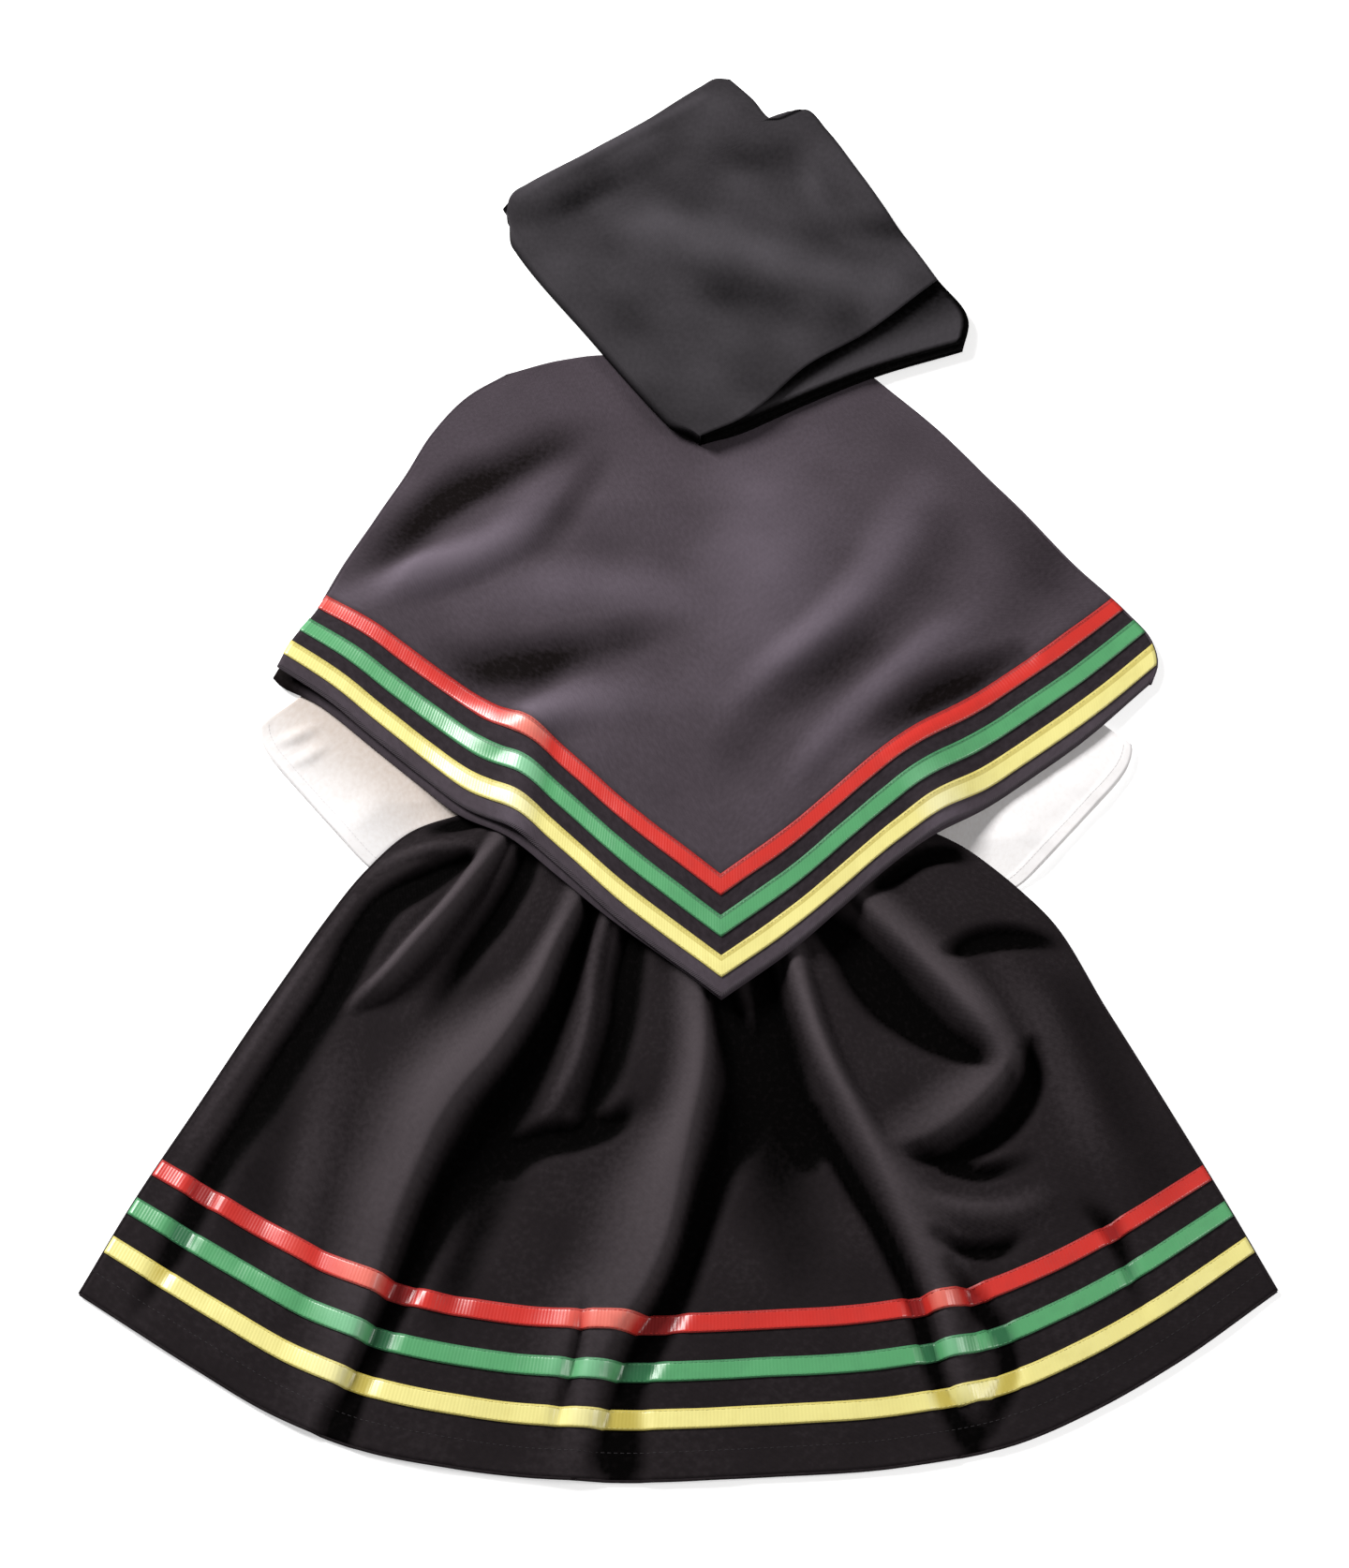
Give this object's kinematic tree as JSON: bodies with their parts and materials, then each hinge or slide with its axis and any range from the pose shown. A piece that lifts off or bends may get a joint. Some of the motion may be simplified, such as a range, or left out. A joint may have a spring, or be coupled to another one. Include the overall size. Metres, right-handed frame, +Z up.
{
  "type": "folk dance costume",
  "caption": "Child's folk dance costume laid flat: a white blouse under a gathered black skirt and a pointed poncho, both trimmed with satin ribbons, and a folded black head cloth.",
  "frame": {"origin": "on the floor under the middle of the layout's bounding box", "axes": "+Z up from the floor, +Y from the skirt's hem to the head cloth, +X to the right of the layout seen from above"},
  "size_m": [0.787, 1.1222, 0.0307],
  "materials": {
    "white": "plain woven cotton blend, matt",
    "black": "fine twill, matt",
    "charcoal": "soft brushed twill, matt",
    "soot": "thick plain cloth, matt",
    "red": "satin ribbon",
    "green": "satin ribbon",
    "yellow": "satin ribbon"
  },
  "bodies": {
    "root": {"blouse_back": "white", "blouse_front": "white", "blouse_sleeve_left": "white", "blouse_sleeve_right": "white", "head_cloth_lower_layers": "soot", "head_cloth_outer_leaf": "soot", "head_cloth_upper_layers": "soot", "poncho_back": "charcoal", "poncho_front": "charcoal", "poncho_ribbon_green": "green", "poncho_ribbon_red": "red", "poncho_ribbon_yellow": "yellow", "skirt_back": "black", "skirt_front": "black", "skirt_ribbon_green": "green", "skirt_ribbon_red": "red", "skirt_ribbon_yellow": "yellow", "skirt_waistband": "black"}
  },
  "joints": []
}
